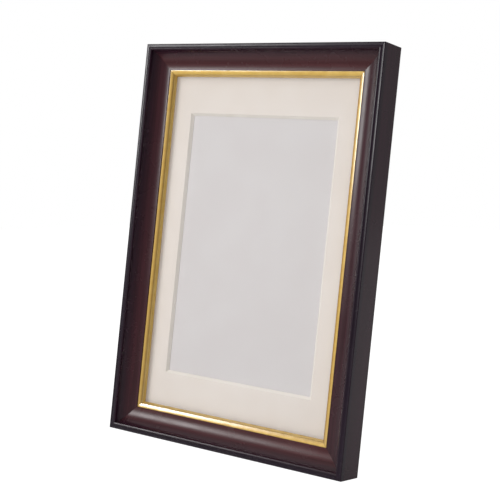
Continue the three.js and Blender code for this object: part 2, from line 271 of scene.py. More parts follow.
# Dark stain that fades from black at the outer edge to red brown in the scoop, under lacquer
stain = {
    "outer": (0.0135, 0.0045, 0.0145, 1),
    "inner": (0.091, 0.0236, 0.027, 1),
    "worn": (0.075, 0.028, 0.02, 1),
    "bare": (0.47, 0.31, 0.17, 1),
    "wear": 0.3,
    "grain": (22.0, 1300.0),  # along and across
    "grainShade": (0.78, 1.18),
    "bareShade": (0.6, 1.1),
    "lacquer": (45.0, 0.23, 0.29),  # scale of its patches, then roughness from and to
    "bareRoughness": 0.4,
    "brushMarks": (420.0, 0.4),  # scale and height
    "bumpDepth": 0.000008,
    "fixed": {"Specular IOR Level": 0.3},
}


def mahoganyMaterial():
    material, tree, shader, _ = newMaterial("mahoganyLacquer")
    place = attribute(tree, "grainPlace", "Vector")
    bare = attribute(tree, "bare")
    grain = streaks(tree, place, *stain["grain"])

    def grained(colour, shades):
        shade = spread(tree, grain["Tone"], 0.0, 1.0, *shades)
        return blendColour(tree, 1.0, colour, shade, "MULTIPLY")

    colour = layered(tree, stain["outer"], (attribute(tree, "tone"), stain["inner"]))
    worn = times(tree, edgeRub(tree, place, scale=700.0, amount=0.42), stain["wear"])
    wood = grained(stain["bare"], stain["bareShade"])
    colour = layered(tree, grained(colour, stain["grainShade"]), (worn, stain["worn"]), (bare, wood))
    gloss = patches(tree, place, *stain["lacquer"])
    gloss = plus(tree, gloss, times(tree, bare, stain["bareRoughness"]))
    scale, amount = stain["brushMarks"]
    brushMarks = times(tree, noiseOf(tree, place, scale, detail=2.0), amount)
    feed(tree, shader, colour, gloss, plus(tree, grain["Height"], brushMarks), stain["bumpDepth"])
    setSockets(shader, stain["fixed"])
    return material


# Gold foil over a red ground, worn through here and there along the slip's nose. The deep colour that the
# tone attribute lays on is painted shade and dark reflection.
gilding = {
    "gold": (0.83, 0.558, 0.13, 1),
    "pale": (0.89, 0.628, 0.175, 1),
    "deep": (0.30, 0.14, 0.008, 1),
    "ground": (0.20, 0.045, 0.02, 1),
    "wear": 0.55,
    "gloss": (300.0, 0.54, 0.64),
    "bumpDepth": 0.000012,
    "fixed": {"Coat Weight": 1.0, "Coat Roughness": 0.17, "Coat IOR": 1.75},
}


def giltMaterial():
    material, tree, shader, _ = newMaterial("giltFoil")
    place = attribute(tree, "grainPlace", "Vector")
    worn = times(tree, edgeRub(tree, place, scale=1100.0, amount=0.3), gilding["wear"])
    colour = layered(
        tree,
        gilding["gold"],
        (patches(tree, place, scale=160.0), gilding["pale"]),
        # painted shade and dark reflection: the tone attribute darkens the gold towards the deep colour
        (attribute(tree, "tone"), gilding["deep"]),
        (worn, gilding["ground"]),
    )
    gloss = patches(tree, place, *gilding["gloss"])
    fleck = specks(tree, place, scale=1200.0, amount=0.3)
    height = plus(tree, noiseOf(tree, place, scale=600.0, detail=3.0), fleck)
    feed(tree, shader, colour, gloss, height, gilding["bumpDepth"])
    tree.links.new(minus(tree, 1.0, worn), shader.inputs["Metallic"])
    setSockets(shader, gilding["fixed"])
    return material


# Sheets of paper and card: colour, its darker clouds, roughness, the fibres' scale and depth
sheets = {
    "matPaper": ((0.90, 0.82, 0.765, 1), (0.87, 0.785, 0.725, 1), 0.8, 2400.0, 0.00002),
    "matCore": ((0.90, 0.84, 0.785, 1), (0.855, 0.795, 0.73, 1), 0.85, 3500.0, 0.00003),
    "printPaper": ((0.755, 0.715, 0.715, 1), (0.735, 0.69, 0.69, 1), 0.55, 1500.0, 0.000004),
    "kraftCard": ((0.42, 0.27, 0.13, 1), (0.36, 0.22, 0.10, 1), 0.85, 1800.0, 0.00005),
    "fibreEdge": ((0.20, 0.125, 0.07, 1), (0.15, 0.09, 0.05, 1), 0.85, 3000.0, 0.00006),
}


def paperMaterial(name):
    colour, cloud, roughness, fibre, depth = sheets[name]
    material, tree, shader, place = newMaterial(name)
    fleck = specks(tree, place, scale=fibre * 0.6, amount=0.35)
    layers = [(patches(tree, place, scale=35.0), cloud), (fleck, toned(cloud, share=0.82))]
    tone = layered(tree, colour, *layers)
    rough = patches(tree, place, scale=200.0, low=roughness - 0.05, high=roughness + 0.05)
    feed(tree, shader, tone, rough, noiseOf(tree, place, fibre, detail=6.0, roughness=0.7), depth)
    setSockets(shader, {"Specular IOR Level": 0.25})
    return material


# Dark paper on the fibreboard, rubbed to the brown fibre at its edges
boardFacing = {
    "dark": (0.016, 0.013, 0.012, 1),
    "light": (0.028, 0.022, 0.019, 1),
    "fleck": (0.07, 0.06, 0.05, 1),
    "worn": (0.16, 0.10, 0.055, 1),
    "roughness": (90.0, 0.5, 0.68),
    "bumpDepth": 0.00003,
}


def boardMaterial():
    material, tree, shader, place = newMaterial("boardPaper")
    colour = layered(
        tree,
        boardFacing["dark"],
        (patches(tree, place, scale=25.0), boardFacing["light"]),
        (specks(tree, place, scale=1800.0, amount=0.5), boardFacing["fleck"]),
        (edgeRub(tree, place, scale=500.0, amount=0.48), boardFacing["worn"]),
    )
    rough = patches(tree, place, *boardFacing["roughness"])
    fibres = noiseOf(tree, place, scale=2600.0, detail=5.0, roughness=0.7)
    feed(tree, shader, colour, rough, fibres, boardFacing["bumpDepth"])
    return material


# Plated metal: bright and dull colours, then its patches' scale and roughness from and to
plating = {
    "brassPlate": ((0.80, 0.58, 0.26, 1), (0.55, 0.36, 0.14, 1), (260.0, 0.24, 0.40)),
    "zincPlate": ((0.68, 0.69, 0.70, 1), (0.48, 0.48, 0.48, 1), (260.0, 0.26, 0.42)),
}


def metalMaterial(name):
    bright, dull, gloss = plating[name]
    material, tree, shader, place = newMaterial(name)
    lines = streaks(tree, place, along=60.0, across=6000.0)
    colour = layered(
        tree,
        bright,
        (times(tree, patches(tree, place, scale=110.0), 0.7), dull),
        (specks(tree, place, scale=2200.0, amount=0.5), toned(dull, share=0.45)),
        (edgeRub(tree, place, scale=900.0, amount=0.6), toned(bright, share=1.25)),
    )
    rough = plus(tree, patches(tree, place, *gloss), times(tree, lines["Tone"], 0.06))
    feed(tree, shader, colour, rough, lines["Height"], bumpDepth=0.000006)
    setSockets(shader, {"Metallic": 1.0})
    return material


glazing = {
    "fixed": {"Base Color": (0.985, 0.995, 0.99, 1), "Transmission Weight": 1.0, "IOR": 1.3},
    "smear": (30.0, 0.0, 0.03),
}


def glassMaterial():  # light passes straight through it to the mat and the print
    material, tree, shader, place = newMaterial("clearGlass")
    setSockets(shader, glazing["fixed"])
    smear = patches(tree, place, *glazing["smear"])
    tree.links.new(smear, shader.inputs["Roughness"])
    rays = addNode(tree, "ShaderNodeLightPath").outputs
    lamps = calc(tree, "MAXIMUM", rays["Is Shadow Ray"], rays["Is Diffuse Ray"])
    mixShader(tree, lamps, shader, addNode(tree, "ShaderNodeBsdfTransparent"))
    return material


mahogany, gilt, glass, board = mahoganyMaterial(), giltMaterial(), glassMaterial(), boardMaterial()
matPaper, matCore, printPaper, kraftCard, fibreEdge = [paperMaterial(name) for name in sheets]
brass, steel = [metalMaterial(name) for name in plating]
slotMaterials = {
    "mahogany": [mahogany],
    "gilt": [gilt],
    "mat": [matPaper, matCore],
    "board": [board, fibreEdge],
    "brass": [brass],
    "steel": [steel],
}
print("materials made")


# Mesh helpers
def meshFrom(points, faces, name="drawing", edges=()):
    mesh = bpy.data.meshes.new(name)
    mesh.from_pydata([tuple(point) for point in points], list(edges), faces)
    mesh.update()
    return mesh


def storeFloats(mesh, name, values, domain="POINT"):
    mesh.attributes.new(name, "FLOAT", domain).data.foreach_set("value", values)


def holderOf(mesh):
    holder = bpy.data.objects.new("holder", mesh)
    scene.collection.objects.link(holder)
    return holder


def plainMesh(holder):  # the evaluated shape as a mesh of its own, with its modifiers gone
    state = bpy.context.evaluated_depsgraph_get()
    settings = {"preserve_all_data_layers": True, "depsgraph": state}
    mesh = bpy.data.meshes.new_from_object(holder.evaluated_get(state), **settings)
    if holder.type == "MESH":
        holder.modifiers.clear()
    bpy.data.objects.remove(holder)
    return mesh


def runTree(tree, mesh, values):
    holder = holderOf(mesh)
    modifier = holder.modifiers.new("tree", "NODES")
    modifier.node_group = tree
    for item in tree.interface.items_tree:
        if item.in_out == "INPUT" and item.name in values:
            modifier[item.identifier] = values[item.name]
    return plainMesh(holder)


def cleaned(mesh, weld=0.0005):
    work = bmesh.new()
    work.from_mesh(mesh)
    bmesh.ops.remove_doubles(work, verts=work.verts, dist=weld)
    bmesh.ops.recalc_face_normals(work, faces=work.faces)
    work.to_mesh(mesh)
    work.free()
    return mesh


def joinSolids(first, *others, how="UNION"):
    holder = holderOf(first)
    tools = [holderOf(mesh) for mesh in others]
    for tool in tools:
        modifier = holder.modifiers.new("join", "BOOLEAN")
        modifier.operation = how
        modifier.solver = "EXACT"
        modifier.object = tool
    mesh = plainMesh(holder)
    for tool in tools:
        bpy.data.objects.remove(tool)
    return cleaned(mesh)


def arc(middle, radii, start, end, steps):
    turns = [math.radians(start + (end - start) * step / steps) for step in range(steps + 1)]
    (x, y), (wide, tall) = middle, radii
    return [(x + wide * math.cos(turn), y + tall * math.sin(turn)) for turn in turns]


def rectangle(left, low, right, high):
    return [(left, low), (right, low), (right, high), (left, high)]


def roundedLoop(corners, radii, steps=6):  # a closed outline with each corner rounded
    loop = []
    for index, corner in enumerate(corners):
        corner = Vector(corner)
        before = (Vector(corners[index - 1]) - corner).normalized()
        after = (Vector(corners[(index + 1) % len(corners)]) - corner).normalized()
        radius = radii[index]
        half = before.angle(after) / 2
        middle = corner + (before + after).normalized() * (radius / math.sin(half))
        first = corner + before * (radius / math.tan(half)) - middle
        last = corner + after * (radius / math.tan(half)) - middle
        for step in range(steps + 1):
            mixed = first.lerp(last, step / steps)
            loop.append(tuple(middle + mixed.normalized() * radius))
    return loop


def plateMesh(loops, thickness, ease):  # a flat plate about z = 0 with eased edges, drawn in x and y
    curve = bpy.data.curves.new("plate", "CURVE")
    curve.dimensions = "2D"
    curve.fill_mode = "BOTH"
    curve.extrude = thickness / 2 - ease
    curve.bevel_depth = ease
    curve.bevel_resolution = 2
    curve.offset = -ease
    for loop in loops:
        spline = curve.splines.new("POLY")
        spline.points.add(len(loop) - 1)
        for point, place in zip(spline.points, loop):
            point.co = (place[0], place[1], 0, 1)
        spline.use_cyclic_u = True
    return cleaned(plainMesh(holderOf(curve)))


def standPlate(mesh, back):  # stands a plate drawn in x and y up in x and z, its middle at depth back
    mesh.transform(Matrix.Translation((0, back, 0)) @ Matrix.Rotation(math.pi / 2, 4, "X"))
    return mesh


# A closed turning about y, from (radius, y) points that start and end on the axis
def latheMesh(profile, steps=40):
    points, faces, rows = [], [], []
    for radius, along in profile:
        if radius == 0:
            rows.append([len(points)])
            points.append((0, along, 0))
            continue
        rows.append(list(range(len(points), len(points) + steps)))
        for step in range(steps):
            turn = 2 * math.pi * step / steps
            points.append((radius * math.cos(turn), along, radius * math.sin(turn)))
    for low, high in zip(rows, rows[1:]):
        for step in range(steps):
            after = (step + 1) % steps
            face = [low[step % len(low)], low[after % len(low)]]
            face += [high[after % len(high)], high[step % len(high)]]
            faces.append(list(dict.fromkeys(face)))
    return cleaned(meshFrom(points, faces))


def extrudeLoop(loop, low, high):  # a solid from an outline in y and z, along x
    count = len(loop)
    points = [(end, y, z) for end in (low, high) for y, z in loop]
    faces = [[i, (i + 1) % count, count + (i + 1) % count, count + i] for i in range(count)]
    faces += [list(range(count)), list(range(count, 2 * count))]
    return cleaned(meshFrom(points, faces))


def eased(mesh, width):
    holder = holderOf(mesh)
    modifier = holder.modifiers.new("ease", "BEVEL")
    modifier.width = width
    modifier.segments = 2
    modifier.limit_method = "ANGLE"
    modifier.angle_limit = math.radians(40)
    return cleaned(plainMesh(holder), weld=0.0001)


def markEdges(mesh):  # the arris attribute of a plate: its eased strips, neither face nor side
    upright, flat = 0.15, 0.97
    slopes = [abs(face.normal.y) for face in mesh.polygons]
    storeFloats(mesh, "arris", [1.0 if upright < slope < flat else 0.0 for slope in slopes], "FACE")
    return mesh


def finishPiece(name, mesh, body, slotName, replaced, place, crease=32):
    mesh.transform(place)
    mesh.materials.clear()
    for material in slotMaterials[slotName]:
        mesh.materials.append(material)
    mesh.polygons.foreach_set("use_smooth", [True] * len(mesh.polygons))
    mesh.set_sharp_from_angle(angle=math.radians(crease))
    mesh.name = name
    piece = bpy.data.objects.new(name, mesh)
    scene.collection.objects.link(piece)
    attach(piece, body)
    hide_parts(*replaced)
    return piece


def geometryTree(name, inputs):
    shape = {"Geometry": "NodeSocketGeometry"}
    inputs = {**shape, **inputs, "Material": "NodeSocketMaterial"}
    return newTree(name, "GeometryNodeTree", inputs, shape)


def endTree(tree, given, made, geometry):
    geometry = outOf(tree, "GeometryNodeRealizeInstances", {"Geometry": geometry})
    inputs = {"Geometry": geometry, "Material": given["Material"]}
    tree.links.new(outOf(tree, "GeometryNodeSetMaterial", inputs), made["Geometry"])
    return tree


# Moulding: one section swept along each side, its ends drawn in to the mitres
rippleAcross = 0.6  # the foil's ripple is longer across than along


def sweepTree():
    inputs = {"Length": 100.0, "Mitre Gap": 0.03, "Steps": 1}
    inputs.update({"Ripple": 0.0, "Ripple Scale": 0.3, "Seed": 0.0})
    tree, given, made = geometryTree("mouldingSweep", inputs)

    def keep(geometry, name, value, kind="FLOAT"):
        inputs = {"Geometry": geometry, "Name": name, "Value": value}
        return outOf(tree, "GeometryNodeStoreNamedAttribute", inputs, data_type=kind)

    def named(name):
        return outOf(tree, "GeometryNodeInputNamedAttribute", {"Name": name}, data_type="FLOAT")

    position = outOf(tree, "GeometryNodeInputPosition")
    place = addNode(tree, "ShaderNodeSeparateXYZ", {0: position}).outputs
    section = keep(given["Geometry"], "inward", place["X"])
    section = keep(section, "deep", place["Y"])
    section = outOf(tree, "GeometryNodeMeshToCurve", {"Mesh": section})
    line = outOf(tree, "GeometryNodeCurvePrimitiveLine", {"Start": (-1, 0, 0), "End": (1, 0, 0)})
    inputs = {"Curve": line, "Count": plus(tree, given["Steps"], 1.0)}
    line = outOf(tree, "GeometryNodeResampleCurve", inputs, mode="COUNT")
    line = keep(line, "along", place["X"])
    inputs = {"Curve": line, "Profile Curve": section, "Fill Caps": True}
    bar = outOf(tree, "GeometryNodeCurveToMesh", inputs)

    half = minus(tree, times(tree, given["Length"], 0.5), given["Mitre Gap"])
    run = times(tree, named("along"), minus(tree, half, named("inward")))
    spot = combine(tree, run, named("deep"), named("inward"))
    wave = combine(tree, run, given["Seed"], times(tree, named("inward"), rippleAcross))
    wave = noiseOf(tree, wave, given["Ripple Scale"], detail=2.0)
    wave = times(tree, minus(tree, wave, 0.5), given["Ripple"])
    wave = combine(tree, 0.0, times(tree, wave, named("face")), 0.0)
    inputs = {"Geometry": bar, "Position": spot, "Offset": wave}
    bar = outOf(tree, "GeometryNodeSetPosition", inputs)

    grain = combine(tree, place["X"], named("around"), given["Seed"])
    inputs = {0: grain, "Scale": 1 / mmPerMetre}
    grain = outOf(tree, "ShaderNodeVectorMath", inputs, operation="SCALE")
    bar = keep(bar, "grainPlace", grain, "FLOAT_VECTOR")
    return endTree(tree, given, made, bar)


def sectionMesh(rows):  # rows of inward, depth, arris, tone, bare and face
    count = len(rows)
    edges = [(index, (index + 1) % count) for index in range(count)]
    mesh = meshFrom([(row[0], row[1], 0) for row in rows], [], "section", edges)
    around = [0.0]
    for before, after in zip(rows, rows[1:]):
        around.append(around[-1] + math.dist(before[:2], after[:2]))
    for column, name in enumerate(("arris", "tone", "bare", "face"), 2):
        storeFloats(mesh, name, [row[column] for row in rows])
    storeFloats(mesh, "around", around)
    return mesh


def smooth(low, high, value):
    part = min(1, max(0, (value - low) / (high - low)))
    return part * part * (3 - 2 * part)


def hump(value, middle, width):
    return math.exp(-((value - middle) / width) ** 2)


# A line drawn from its slopes: each mark is a slope in degrees and how far in it is reached
def slopeLine(start, slope, marks, steps=6):
    line = [start]
    for after, reached in marks:
        inward, depth = line[-1]
        run = (reached - inward) / steps
        for step in range(steps):
            tilt = slope + (after - slope) * (step + 0.5) / steps
            inward += run
            depth += run * math.tan(math.radians(tilt))
            line.append((inward, depth))
        slope = after
    return line


moulding = {
    "width": 17.4,
    "rebateWall": 11.4,
    "slipFace": 3.4,
    "sideFront": (4, 2),
    "sideBack": (0.4, 0.9),  # two rows close to the back edge keep the side's shading flat
    "sideSlope": -89,
    "arris": [(-60, 0.04), (-30, 0.15), (0, 0.30), (8, 0.42)],
    "dish": [(4, 0.8), (-2, 1.35), (-8, 1.8), (-10, 2.5)],
    "shoulder": [(6, 2.6), (9, 2.8), (13, 3.28), (40, 3.4), (68, 3.48)],
    "scoopFrom": 3.5,
    "scoopStep": 0.1,
    "scoopDepth": 6.2,
    "scoopSteps": 44,
    "lipEase": 0.12,
    "lipBack": 8.1,
    "wallEase": 0.3,
    "wallBare": 0.6,
    "backEdge": [(0.6, 1), (0.2, 0.3)],  # how far in, and how bare the wood is there
    "wearAt": (0.2, 3.0),
    "wearWidth": 0.3,
    "wearDepth": 2,
    "tone": (1.2, 10.0),  # the stain fades between these two, measured inwards
    "toneDepth": 9,
    "sideTone": 0.19,
    "sideFade": (1.5, 4),
    "sideEdge": 0.5,
    "sweep": {"Mitre Gap": 0.02, "Steps": 1},
    "seed": 0,
    "crease": 28,
}


def bandLine():
    marks = moulding["arris"] + moulding["dish"] + moulding["shoulder"]
    line = slopeLine((0.0, 0.0), moulding["sideSlope"], marks)
    high = min(depth for inward, depth in line)
    return [(inward, depth - high) for inward, depth in line]


def woodSection(redForSideLight):
    edge, wall = moulding["width"] - moulding["slipFace"], moulding["rebateWall"]
    side = [frameDepth - back for back in moulding["sideBack"]]
    side += [frameDepth / 2, *moulding["sideFront"]]
    band = bandLine()
    top = band[-1][1] + moulding["scoopStep"]
    radii = (edge - moulding["scoopFrom"], moulding["scoopDepth"] - top)
    scoop = arc((edge, top), radii, 180, 90, moulding["scoopSteps"])
    floor, ease = scoop[-1][1], moulding["lipEase"]
    line = [(0, depth) for depth in side] + band + scoop[:-1]
    line += [(edge - ease, floor), (edge, floor + ease)]
    line += [(edge, moulding["lipBack"]), (wall, moulding["lipBack"])]
    rows = []
    for inward, depth in line:
        worn, tone = 0, 0
        if depth < moulding["wearDepth"]:
            worn = max(hump(inward, at, moulding["wearWidth"]) for at in moulding["wearAt"])
        if depth < moulding["toneDepth"]:
            # painted shade: the red brown is scaled by the side's own share, which leaves the stiles
            # darker than the rails
            tone = redForSideLight * smooth(*moulding["tone"], inward)
        if inward < moulding["sideEdge"]:
            tone = max(tone, moulding["sideTone"] * smooth(*moulding["sideFade"], depth))
        rows.append((inward, depth, worn, tone, 0, 0))
    ease = moulding["wallEase"]
    back = [(wall, frameDepth - ease, moulding["wallBare"])]
    back += [(wall, frameDepth, 1), (wall - ease, frameDepth, 1)]
    back += [(inward, frameDepth, bare) for inward, bare in moulding["backEdge"]]
    rows += [(inward, depth, 0, 0, bare, 0) for inward, depth, bare in back]
    return sectionMesh(rows)


slip = {
    "root": 11.65,
    "back": 9.35,
    "flange": 8.3,
    "start": (14.05, 6.62),
    "startSlope": -3,
    "land": [(7, 14.45), (9, 14.9), (13, 16.2)],
    "nose": [(35, 16.33), (52, 16.5)],
    "bevel": [(62, 16.9), (70, 17.4)],
    "wear": 0.7,
    "wearWidth": 0.2,
    "paintedShadeRise": (15.0, 16.0),  # the painted shade deepens between these, towards the nose
    "paintedShadeGain": 1.4,
    "paintedShadeEnd": (16.8, 16.4),
    "backTone": 0.5,
    "rippleDepth": 8.8,
    "sweep": {"Mitre Gap": 0.07, "Steps": 90, "Ripple": 0.04, "Ripple Scale": 0.25},
    "seed": 17,
    "crease": 40,
}


def slipSection(shade):
    root, back, flange = slip["root"], slip["back"], slip["flange"]
    rows = [(root, back, 0, 0, 0, 0), (root, flange, 0, 0, 0, 0)]
    # painted shade where the slip tucks under the moulding's lip
    rows.append((slip["start"][0], flange, 0, 1, 0, 0))
    line = slopeLine(slip["start"], slip["startSlope"], slip["land"] + slip["nose"] + slip["bevel"])
    nose = slip["nose"][0][1]
    for inward, depth in line:
        worn = slip["wear"] * hump(inward, nose, slip["wearWidth"])
        # painted shade: the tone darkens the gold by the side's share, more towards the nose, for the
        # dark the gold reflects there
        tone = shade * (1 + slip["paintedShadeGain"] * smooth(*slip["paintedShadeRise"], inward))
        tone *= smooth(*slip["paintedShadeEnd"], inward)
        rows.append((inward, depth, worn, tone, 0, 1 if depth < slip["rippleDepth"] else 0))
    # painted shade on the slip's inner face and back, where it meets the glass
    rows.append((line[-1][0], back, 0, slip["backTone"], 0, 0))
    return sectionMesh(rows)


# The two nodes of each side, its quarter turns and place, its share of red brown and its slip's shade.
# Both shares are painted shade set to how each side is lit: the stiles come out darker than the rails,
# and the top slip lighter than the other three.
sides = [
    ("bottom_rail", "slip_bottom", 0, (0, 0), 1.0, 0.22),
    ("right_stile", "slip_right", -1, (0.5, 0.5), 0.5, 0.3),
    ("top_rail", "slip_top", 2, (0, 1), 0.94, 0.09),
    ("left_stile", "slip_left", 1, (-0.5, 0.5), 0.6, 0.27),
]
sideSeed = 40.0
sweep = sweepTree()
for index, (railNode, slipNode, turns, (x, z), redForSideLight, shade) in enumerate(sides):
    shift = Matrix.Translation((x * frameWidth, 0, z * frameHeight))
    place = seat @ (shift @ Matrix.Rotation(turns * math.pi / 2, 4, "Y"))
    lengths = [
        (railNode, moulding, woodSection(redForSideLight), "mahogany"),
        (slipNode, slip, slipSection(shade), "gilt"),
    ]
    for node, piece, section, slotName in lengths:
        values = {"Length": frameHeight if x else frameWidth, **piece["sweep"]}
        values["Seed"] = sideSeed * index + piece["seed"]
        values["Material"] = slotMaterials[slotName][0]
        mesh = cleaned(runTree(sweep, section, values))
        finishPiece(camel(node), mesh, "frame", slotName, [node], place, piece["crease"])
print("moulding and slip swept")


# Mat: a cream face, and a window whose 45 degree cut shows the white core
mat = {"cover": 3.0, "flatFrom": 0.9, "crease": 20}


def matMesh():
    low, high = drawn("mat_board")
    printLow = drawn("print_sheet")[0]
    thick = high.y - low.y
    middle = (low.z + high.z) / 2
    halfX, halfZ = -(printLow.x + mat["cover"]), middle - (printLow.z + mat["cover"])
    outX, outZ = high.x, high.z - middle
    rings = [(outX, outZ, low.y), (halfX + thick, halfZ + thick, low.y)]
    rings += [(halfX, halfZ, high.y), (outX, outZ, high.y)]
    points, faces = [], []
    for sizeX, sizeZ, depth in rings:
        points += [(x * sizeX, depth, middle + z * sizeZ) for x, z in rectangle(-1, -1, 1, 1)]
    for index in range(4):
        first, second = 4 * index, 4 * ((index + 1) % 4)
        for side in range(4):
            after = (side + 1) % 4
            faces.append((first + side, first + after, second + after, second + side))
    return cleaned(meshFrom(points, faces))


matSheet = matMesh()
matPiece = finishPiece("matBoard", matSheet, "frame", "mat", ["mat_board"], seat, mat["crease"])
for face in matSheet.polygons:  # the cut window and the outer edges show the core
    if abs(face.normal.dot(depthAxis)) < mat["flatFrom"]:
        face.material_index = 1
for name, material in (("glass_pane", glass), ("print_sheet", printPaper), ("backing_card", kraftCard)):
    nodes[name].data.materials.clear()
    nodes[name].data.materials.append(material)


# Board and strut: fibreboard faced with dark paper
backBoard = {"corners": [1.0] * 4, "ease": 0.25, "fibreBelow": 0.3}


def boardPiece(mesh, body, node, place):
    for face in mesh.polygons:  # the sides show the bare fibre
        face.material_index = 1 if abs(face.normal.y) < backBoard["fibreBelow"] else 0
    finishPiece(camel(node), markEdges(mesh), body, "board", [node], place)


boardLow, boardHigh = drawn("back_board")
outline = rectangle(boardLow.x, boardLow.z, boardHigh.x, boardHigh.z)
outline = roundedLoop(outline, backBoard["corners"])
boardSheet = plateMesh([outline], boardHigh.y - boardLow.y, backBoard["ease"])
boardPiece(standPlate(boardSheet, (boardLow.y + boardHigh.y) / 2), "frame", "back_board", seat)

strut = {
    "topWidth": 34,
    "footWidth": 56,
    "thickness": 3,
    "chamfer": 5,
    "corners": (0.6, 0.6, 2, 1, 1, 2),  # from the foot round
    "ease": 0.4,
    "topDrop": 1.85,
    "front": -0.6,
    "footEnd": 3,
}
openTurn = math.radians(-joints["strut_fold"]["range_deg"][0])
lean = math.asin(-depthAxis.z)
hingeSeat = seat @ Matrix.Translation(jointPlace("strut_fold"))
strutSeat = hingeSeat @ Matrix.Rotation(openTurn, 4, "X")


def strutMesh():
    tilt = openTurn - lean
    length = joints["strut_fold"]["pos_m"][2] * mmPerMetre / math.cos(tilt)
    top, foot = strut["topWidth"] / 2, strut["footWidth"] / 2
    high, cut = -strut["topDrop"], strut["chamfer"]
    outline = [(-foot, -length), (foot, -length), (top, high - cut)]
    outline += [(top - cut, high), (cut - top, high), (-top, high - cut)]
    mesh = plateMesh([roundedLoop(outline, strut["corners"])], strut["thickness"], strut["ease"])
    standPlate(mesh, strut["front"] + strut["thickness"] / 2)
    for vertex in mesh.vertices:  # the foot is cut level for the floor
        if vertex.co.z < strut["footEnd"] - length:
            vertex.co.z -= vertex.co.y * math.tan(tilt)
    return mesh


boardPiece(strutMesh(), "strut", "strut_leg", strutSeat)
print("boards made")


# Hinge: leaves of sheet brass rolled round the pin
hinge = {
    "width": 32,
    "barrel": 1.6,
    "sheet": 0.8,
    "length": 18,
    "leafFrom": 0.25,
    "corners": (0.3, 0.3, 2.2, 2.2),  # at the roll, then at the free end
    "leafEase": 0.12,
    "knuckle": 10,
    "knuckleGap": 0.3,
    "wrap": 318,
    "tail": 1.2,
    "knuckleEase": 0.08,
    "heel": (1.15, 6),
    "heelLift": 0.25,
    "heelEase": 0.1,
    "pin": 0.8,
    "pinEase": 0.2,
    "rivetSpread": 20,
    "rivetRise": 11,
}


# The rolled sheet's outline, its tail running up or down from the pin
def curlLoop(outer, sheet, tail, wrap, up, steps=36):
    turns = [math.radians(wrap * step / steps) for step in range(steps + 1)]
    roll = [(-outer * math.cos(turn), -up * outer * math.sin(turn)) for turn in turns]
    inside = outer - sheet
    bore = [(-inside * math.cos(turn), -up * inside * math.sin(turn)) for turn in reversed(turns)]
    return [(-outer, up * tail)] + roll + bore + [(-inside, up * tail)]


def leafPlate(up):
    half, low, high = hinge["width"] / 2, hinge["barrel"] + hinge["leafFrom"], hinge["length"]
    corners = rectangle(-half, up * low, half, up * high)
    radii = list(hinge["corners"])
    if up < 0:
        corners.reverse()
        radii.reverse()
    plate = plateMesh([roundedLoop(corners, radii)], hinge["sheet"], hinge["leafEase"])
    return standPlate(plate, hinge["sheet"] / 2 - hinge["barrel"])


def knuckle(low, high, up):
    tail = hinge["barrel"] + hinge["tail"]
    loop = curlLoop(hinge["barrel"], hinge["sheet"], tail, hinge["wrap"], up)
    return eased(extrudeLoop(loop, low, high), hinge["knuckleEase"])


def heelMesh(half):  # the stop on the leg's leaf that meets the board when the strut is open
    front = hinge["sheet"] - hinge["barrel"] + hinge["heelLift"]
    back = front + hinge["sheet"]
    low, high = hinge["heel"]
    loop = [(front, low), (front, high), (back, high), (back, low)]
    mesh = eased(extrudeLoop(loop, -half, half), hinge["heelEase"])
    mesh.transform(Matrix.Rotation(-openTurn, 4, "X"))
    return mesh


def pinMesh():
    half, radius, ease = hinge["width"] / 2, hinge["pin"], hinge["pinEase"]
    profile = [(0, -half), (radius - ease, -half), (radius, ease - half)]
    profile += [(radius, half - ease), (radius - ease, half), (0, half)]
    mesh = latheMesh(profile, 24)
    mesh.transform(Matrix.Rotation(math.pi / 2, 4, "Z"))
    return mesh


def brassPiece(mesh, body, node, place):
    finishPiece(camel(node), markEdges(mesh), body, "brass", [node], place)


middleHalf, sideEnd = hinge["knuckle"] / 2, hinge["width"] / 2
sideFrom = middleHalf + hinge["knuckleGap"]
boardLeaf = joinSolids(leafPlate(1), knuckle(-sideEnd, -sideFrom, 1), knuckle(sideFrom, sideEnd, 1))
brassPiece(boardLeaf, "frame", "hinge_board_leaf", hingeSeat)
legLeaf = joinSolids(leafPlate(-1), knuckle(-middleHalf, middleHalf, -1), heelMesh(middleHalf))
brassPiece(legLeaf, "strut", "hinge_leg_leaf", strutSeat)
finishPiece("hingePin", pinMesh(), "frame", "steel", ["hinge_pin"], hingeSeat)


# Fasteners: one drawing each, set on its points by a tree
def copiesTree():
    inputs = {"Piece": "NodeSocketObject", "Axis": (0, 1, 0), "Loose Turn": 0.0, "Seed": 3}
    tree, given, made = geometryTree("placeCopies", inputs)
    piece = outOf(tree, "GeometryNodeObjectInfo", {"Object": given["Piece"]}, "Geometry")
    turn = outOf(tree, "GeometryNodeInputNamedAttribute", {"Name": "turn"}, data_type="FLOAT")
    loose = outOf(tree, "FunctionNodeRandomValue", {"Seed": given["Seed"]}, 1, data_type="FLOAT")
    loose = times(tree, minus(tree, loose, 0.5), given["Loose Turn"])
    inputs = {"Axis": given["Axis"], "Angle": plus(tree, turn, loose)}
    rotation = outOf(tree, "FunctionNodeAxisAngleToRotation", inputs)
    inputs = {"Points": given["Geometry"], "Instance": piece, "Rotation": rotation}
    return endTree(tree, given, made, outOf(tree, "GeometryNodeInstanceOnPoints", inputs))


placeCopies = copiesTree()


def copiesOf(drawing, places, turns, material, loose=0.0):
    points = meshFrom(places, [], "points")
    storeFloats(points, "turn", turns)
    source = holderOf(drawing)
    values = {"Piece": source, "Loose Turn": loose, "Seed": 3, "Material": material}
    mesh = runTree(placeCopies, points, values)
    bpy.data.objects.remove(source)
    return mesh


